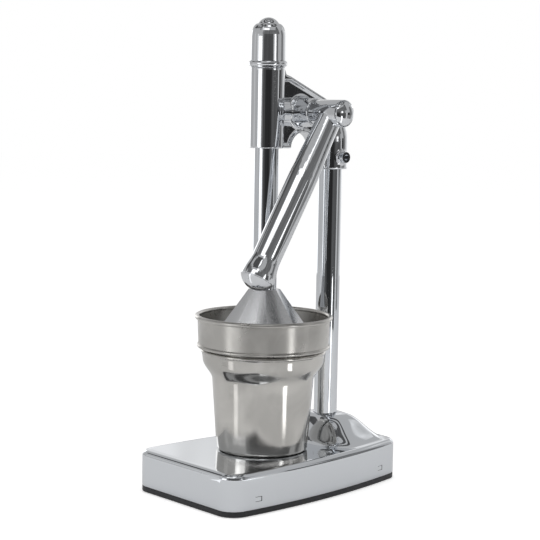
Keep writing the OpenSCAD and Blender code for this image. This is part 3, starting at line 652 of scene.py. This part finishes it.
# Cards of the studio, which only reflections see: name, bearings from and to, profile of (distance, height)
# and level. Bearings are degrees from the camera's side, positive to the right of the picture.
SCREENS = (
    ("room_left_of_camera", -30, -14, ((0.85, 0.002), (1.7, 0.002), (1.7, 0.42)), 0.07),
    ("room_at_camera", -14, 27, ((0.85, 0.002), (1.7, 0.002), (1.7, 0.42)), 0.028),
    ("room_right_of_camera", 27, 72, ((0.95, 0.002), (1.7, 0.002), (1.7, 0.42)), 0.1),
    ("wall_behind_camera", -30, 53, ((1.7, 0.42), (1.7, 0.7)), 0.09),
    ("wall_right_of_camera", 53, 68, ((1.7, 0.42), (1.7, 0.7)), 0.2),
    ("wall_above_camera", -30, 78, ((1.7, 0.7), (1.7, 1.6)), 0.17),
    ("grey_flag_left", -40, -30, ((0.95, 0.002), (1.7, 0.002), (1.7, 1.3)), 0.24),
    ("softbox_left", -66, -40, ((1.69, 0.0), (1.69, 0.56)), 1.7),
    ("softbox_left_top", -77, -66, ((1.69, 0.43), (1.69, 0.62)), 0.85),
    # Strip: a painted reflection of the left softbox in the table top. Glow: a painted pool of the
    # softbox's light on the floor.
    ("painted_softbox_reflection_on_floor_left", -64, -55, ((0.2, 0.002), (1.5, 0.002)), 1.5),
    ("glow_on_floor_left", -80, -50, ((0.35, 0.001), (1.6, 0.001)), 0.66),
    ("wall_left", -104, -90, ((1.7, 0.0), (1.7, 0.8)), 0.6),
    ("ceiling_left", -103, -58, ((1.7, 1.5), (1.7, 2.3)), 0.16),
    ("ceiling_far_left", -130, -103, ((1.7, 1.2), (1.7, 1.95)), 0.08),
    ("softbox_right", 42, 53, ((1.68, 0.42), (1.68, 0.68)), 1.9),
    ("softbox_right_edge", 33, 42, ((1.68, 0.42), (1.68, 0.68)), 0.45),
    # Strip: a painted reflection of the right softbox in the table top. Glow: a painted pool of the
    # softbox's light on the floor.
    ("painted_softbox_reflection_on_floor_right", 42, 50, ((0.2, 0.003), (1.6, 0.003)), 2.6),
    ("glow_on_floor_right", 31, 56, ((0.35, 0.001), (1.6, 0.001)), 0.62),
    ("post_right", 72, 81, ((1.69, 0.0), (1.69, 0.42)), 0.6),
    ("flag_low_right", 82, 110, ((1.2, 0.002), (1.7, 0.002), (1.7, 0.2)), 0.26),
    ("flag_right", 82, 96, ((1.7, 0.2), (1.7, 0.44)), 0.035),
    ("flag_far_right", 96, 112, ((1.7, 0.2), (1.7, 1.0)), 0.2),
    ("wall_right", 124, 143, ((1.7, 0.0), (1.7, 1.2)), 0.75),
    ("window_back_right", 143, 163, ((1.7, 0.0), (1.7, 0.7)), 1.2),
    ("window_back_left", 197, 217, ((1.7, 0.0), (1.7, 0.7)), 1.7),
    ("backdrop_glow", 163, 197, ((1.69, 0.2), (1.69, 0.9)), 0.8),
    ("softbox_overhead", -50, 6, ((1.7, 1.66), (1.7, 2.27)), 1.7),
    ("softbox_zenith", -10, 24, ((1.5, 2.6), (0.9, 2.6)), 1.7),
    ("ceiling_right", 66, 78, ((1.7, 1.5), (1.7, 2.3)), 0.1),
    ("ceiling_near", -180, 180, ((1.7, 2.75), (1.1, 2.75)), 0.09),
    ("ceiling_beam", -180, 180, ((0.75, 2.75), (0.45, 2.75)), 0.09),
)

# Lamps: name, bearing, distance, height, width and height of the lamp, and power in watts
LAMPS = (
    ("lamp_left", -52, 1.5, 0.75, (0.5, 1.3), 3),
    ("lamp_right", 46, 1.5, 0.75, (0.5, 1.3), 3),
    ("lamp_top", 0, 0.4, 1.7, (1.2, 1.2), 4),
)
# Middle of the press, at which the lamps point
LAMP_AIM = Vector((0, 0, 0.2))


def at_bearing(degrees, distance, height):
    """A place at this bearing from the camera's side."""
    a = CAMERA_TURN + math.radians(degrees)
    return Vector((math.sin(a) * distance, -math.cos(a) * distance, height))


def new_object(name, data):
    obj = bpy.data.objects.new(name, data)
    bpy.context.scene.collection.objects.link(obj)
    return obj


def screen(name, start, end, profile, level):
    """A studio card: its profile turned about the press between two bearings. Only reflections see it."""
    bm = bmesh.new()
    verts = [bm.verts.new(at_bearing(start, r, z)) for r, z in profile]
    edges = [bm.edges.new(pair) for pair in zip(verts, verts[1:])]
    bmesh.ops.spin(bm, geom=verts + edges, cent=(0, 0, 0), axis=(0, 0, 1), angle=math.radians(end - start),
                   steps=max(2, (end - start) // 3))
    mesh = bpy.data.meshes.new(name)
    bm.to_mesh(mesh)
    bm.free()
    material, tree = new_material(name + "_cloth")
    place = add(tree, "ShaderNodeTexCoord")
    folds = add(tree, "ShaderNodeTexNoise", {"Scale": spots(FOLD_WIDTH), "Detail": 2.0},
                {"Vector": (place, "Object")})
    light = add(tree, "ShaderNodeMapRange",
                {"From Min": 0.3, "From Max": 0.7, "To Min": (1 - FOLD_SHARE) * level,
                 "To Max": (1 + FOLD_SHARE) * level}, {"Value": (folds, "Fac")})
    shade = add(tree, "ShaderNodeEmission", {"Color": (1, 1, 1, 1)}, {"Strength": (light, "Result")})
    add(tree, "ShaderNodeOutputMaterial", {}, {"Surface": (shade, "Emission")})
    mesh.materials.append(material)
    obj = new_object(name, mesh)
    obj.visible_camera = obj.visible_diffuse = obj.visible_shadow = False


def ray_level(tree, base, camera, glossy):
    """A level of light: base for matt surfaces, and how much more or less the camera and metal see."""
    path = add(tree, "ShaderNodeLightPath")
    level = add(tree, "ShaderNodeValue")
    level.outputs[0].default_value = base
    extras = {"Is Camera Ray": camera, "Is Transmission Ray": camera, "Is Glossy Ray": glossy}
    for output, extra in extras.items():
        level = add(tree, "ShaderNodeMath", {"operation": "MULTIPLY_ADD", 1: extra},
                    {0: (path, output), 2: (level, "Value")})
    return level


class PRESS_OT_stage(Operator):
    """Sets the pale floor, the soft studio light, the reflection cards and the camera"""
    bl_idname = "press.stage"
    bl_label = "Studio"

    def execute(self, context):
        scene = context.scene
        scene.view_settings.view_transform = "Standard"
        self.floor()
        self.world(scene)
        for card in SCREENS:
            screen(*card)
        self.lamps()
        self.camera(scene)
        return {"FINISHED"}

    def floor(self):
        """Matt white floor; the camera sees it as the white that the photograph was cut out to."""
        bm = bmesh.new()
        bmesh.ops.create_grid(bm, x_segments=2, y_segments=2, size=6.0)
        mesh = bpy.data.meshes.new("studio_floor")
        bm.to_mesh(mesh)
        bm.free()
        material, tree = new_material("matt_white_floor")
        matt = add(tree, "ShaderNodeBsdfDiffuse", {"Color": colours().floor})
        level = ray_level(tree, 0.0, 0.5, 0.03)
        glow = add(tree, "ShaderNodeEmission", {"Color": (1, 1, 1, 1)}, {"Strength": (level, "Value")})
        both = add(tree, "ShaderNodeAddShader", {}, {0: (matt, "BSDF"), 1: (glow, "Emission")})
        add(tree, "ShaderNodeOutputMaterial", {}, {"Surface": (both, "Shader")})
        mesh.materials.append(material)
        new_object("studio_floor", mesh)

    def world(self, scene):
        """White to the camera, grey room to reflections, soft fill to matt surfaces."""
        scene.world = bpy.data.worlds.new("studio")
        scene.world.use_nodes = True
        tree = scene.world.node_tree
        tree.nodes.clear()
        level = ray_level(tree, 0.55, 0.45, -0.05)
        back = add(tree, "ShaderNodeBackground", {"Color": (1, 1, 1, 1)}, {"Strength": (level, "Value")})
        add(tree, "ShaderNodeOutputWorld", {}, {"Surface": (back, "Background")})

    def lamps(self):
        """Soft boxes left and right of the camera and one above, for the matt surfaces and the shadow."""
        for name, bearing, distance, height, size, energy in LAMPS:
            lamp = bpy.data.lights.new(name, "AREA")
            lamp.shape = "RECTANGLE"
            lamp.size, lamp.size_y = size
            lamp.energy = energy
            obj = new_object(name, lamp)
            obj.location = at_bearing(bearing, distance, height)
            obj.rotation_mode = "QUATERNION"
            obj.rotation_quaternion = (obj.location - LAMP_AIM).to_track_quat("Z", "Y")
            obj.visible_camera = obj.visible_glossy = False

    def camera(self, scene):
        """The photograph's view."""
        back = Vector((math.sin(CAMERA_TURN) * math.cos(CAMERA_DOWN),
                       -math.cos(CAMERA_TURN) * math.cos(CAMERA_DOWN), math.sin(CAMERA_DOWN)))
        right = Vector((math.cos(CAMERA_TURN), math.sin(CAMERA_TURN), 0))
        upright = Matrix((right, back.cross(right), back)).transposed().to_4x4()
        data = bpy.data.cameras.new("view")
        data.sensor_width = SENSOR_MM
        data.lens = SENSOR_MM * FOCAL_PIXELS / PICTURE_PIXELS
        data.clip_start = 0.05
        data.clip_end = 20
        camera = new_object("view", data)
        camera.matrix_world = Matrix.Translation(CAMERA_AT) @ upright @ Matrix.Rotation(CAMERA_ROLL, 4, "Z")
        scene.camera = camera


class PRESS_PT_sidebar(Panel):
    """Lists the steps that build the press, and its sizes and colours"""
    bl_label = "Citrus press"
    bl_idname = "PRESS_PT_sidebar"
    bl_space_type = "VIEW_3D"
    bl_region_type = "UI"
    bl_category = "Citrus press"

    def draw(self, context):
        for step in STEPS:
            self.layout.operator(step.bl_idname)
        for group in (context.scene.press_sizes, context.scene.press_colours):
            box = self.layout.box()
            for name in group.__annotations__:
                box.prop(group, name)


STEPS = (PRESS_OT_finishes, PRESS_OT_base_shell, PRESS_OT_head_casting, PRESS_OT_cup, PRESS_OT_lever_hub,
         PRESS_OT_stage)
CLASSES = (PressSizes, PressColours) + STEPS + (PRESS_PT_sidebar,)


def register():
    for cls in CLASSES:
        bpy.utils.register_class(cls)
    bpy.types.Scene.press_sizes = PointerProperty(type=PressSizes)
    bpy.types.Scene.press_colours = PointerProperty(type=PressColours)


def unregister():
    del bpy.types.Scene.press_colours
    del bpy.types.Scene.press_sizes
    for cls in reversed(CLASSES):
        bpy.utils.unregister_class(cls)


def main():
    register()
    bpy.ops.press.finishes()
    bpy.ops.press.base_shell()
    bpy.ops.press.head_casting()
    bpy.ops.press.cup()
    bpy.ops.press.lever_hub()
    bpy.ops.press.stage()


if __name__ == "__main__":
    main()
